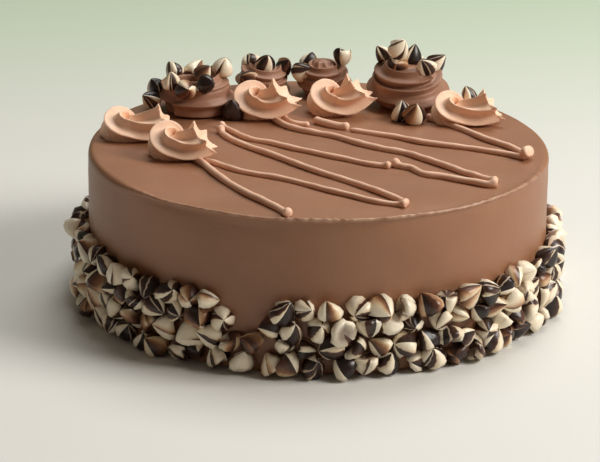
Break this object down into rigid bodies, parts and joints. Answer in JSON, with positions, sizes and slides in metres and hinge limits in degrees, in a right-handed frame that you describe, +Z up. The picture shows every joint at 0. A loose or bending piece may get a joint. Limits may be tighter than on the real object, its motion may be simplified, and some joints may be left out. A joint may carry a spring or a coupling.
{
  "type": "decorated layer cake",
  "caption": "Round iced cake with piped swirls and a piped zigzag on top and a border of marbled drops round its foot.",
  "frame": {"origin": "centre of the cake's flat foot, where it stands on a plate or table", "axes": "+Z up, +Y towards the crescent of piped swirls at the back of the top, +X to the right of someone facing the front"},
  "size_m": [0.2194, 0.2196, 0.0986],
  "materials": {
    "icing": "satin chocolate icing",
    "light_cream": "satin milk chocolate cream",
    "dark_cream": "satin chocolate cream",
    "marbled_drop": "semi-gloss marbled chocolate"
  },
  "bodies": {
    "root": {"cake": "icing", "rosette_1": "light_cream", "rosette_2": "light_cream", "rosette_3": "light_cream", "rosette_4": "light_cream", "rosette_5": "light_cream", "dark_swirl_1": "dark_cream", "dark_swirl_2": "dark_cream", "dark_swirl_3": "dark_cream", "dark_swirl_4": "dark_cream", "top_drop_01": "marbled_drop", "top_drop_02": "marbled_drop", "top_drop_03": "marbled_drop", "top_drop_04": "marbled_drop", "top_drop_05": "marbled_drop", "top_drop_06": "marbled_drop", "top_drop_07": "marbled_drop", "top_drop_08": "marbled_drop", "top_drop_09": "marbled_drop", "top_drop_10": "marbled_drop", "top_drop_11": "marbled_drop", "top_drop_12": "marbled_drop", "top_drop_13": "marbled_drop", "top_drop_14": "marbled_drop", "top_drop_15": "marbled_drop", "top_drop_16": "marbled_drop", "top_drop_17": "marbled_drop", "top_drop_18": "marbled_drop", "top_drop_19": "marbled_drop", "top_drop_20": "marbled_drop", "top_drop_21": "marbled_drop", "top_drop_22": "marbled_drop", "top_drop_23": "marbled_drop", "top_drop_24": "marbled_drop", "top_drop_25": "marbled_drop", "top_drop_26": "marbled_drop", "top_drop_27": "marbled_drop", "top_drop_28": "marbled_drop"}
  },
  "joints": []
}
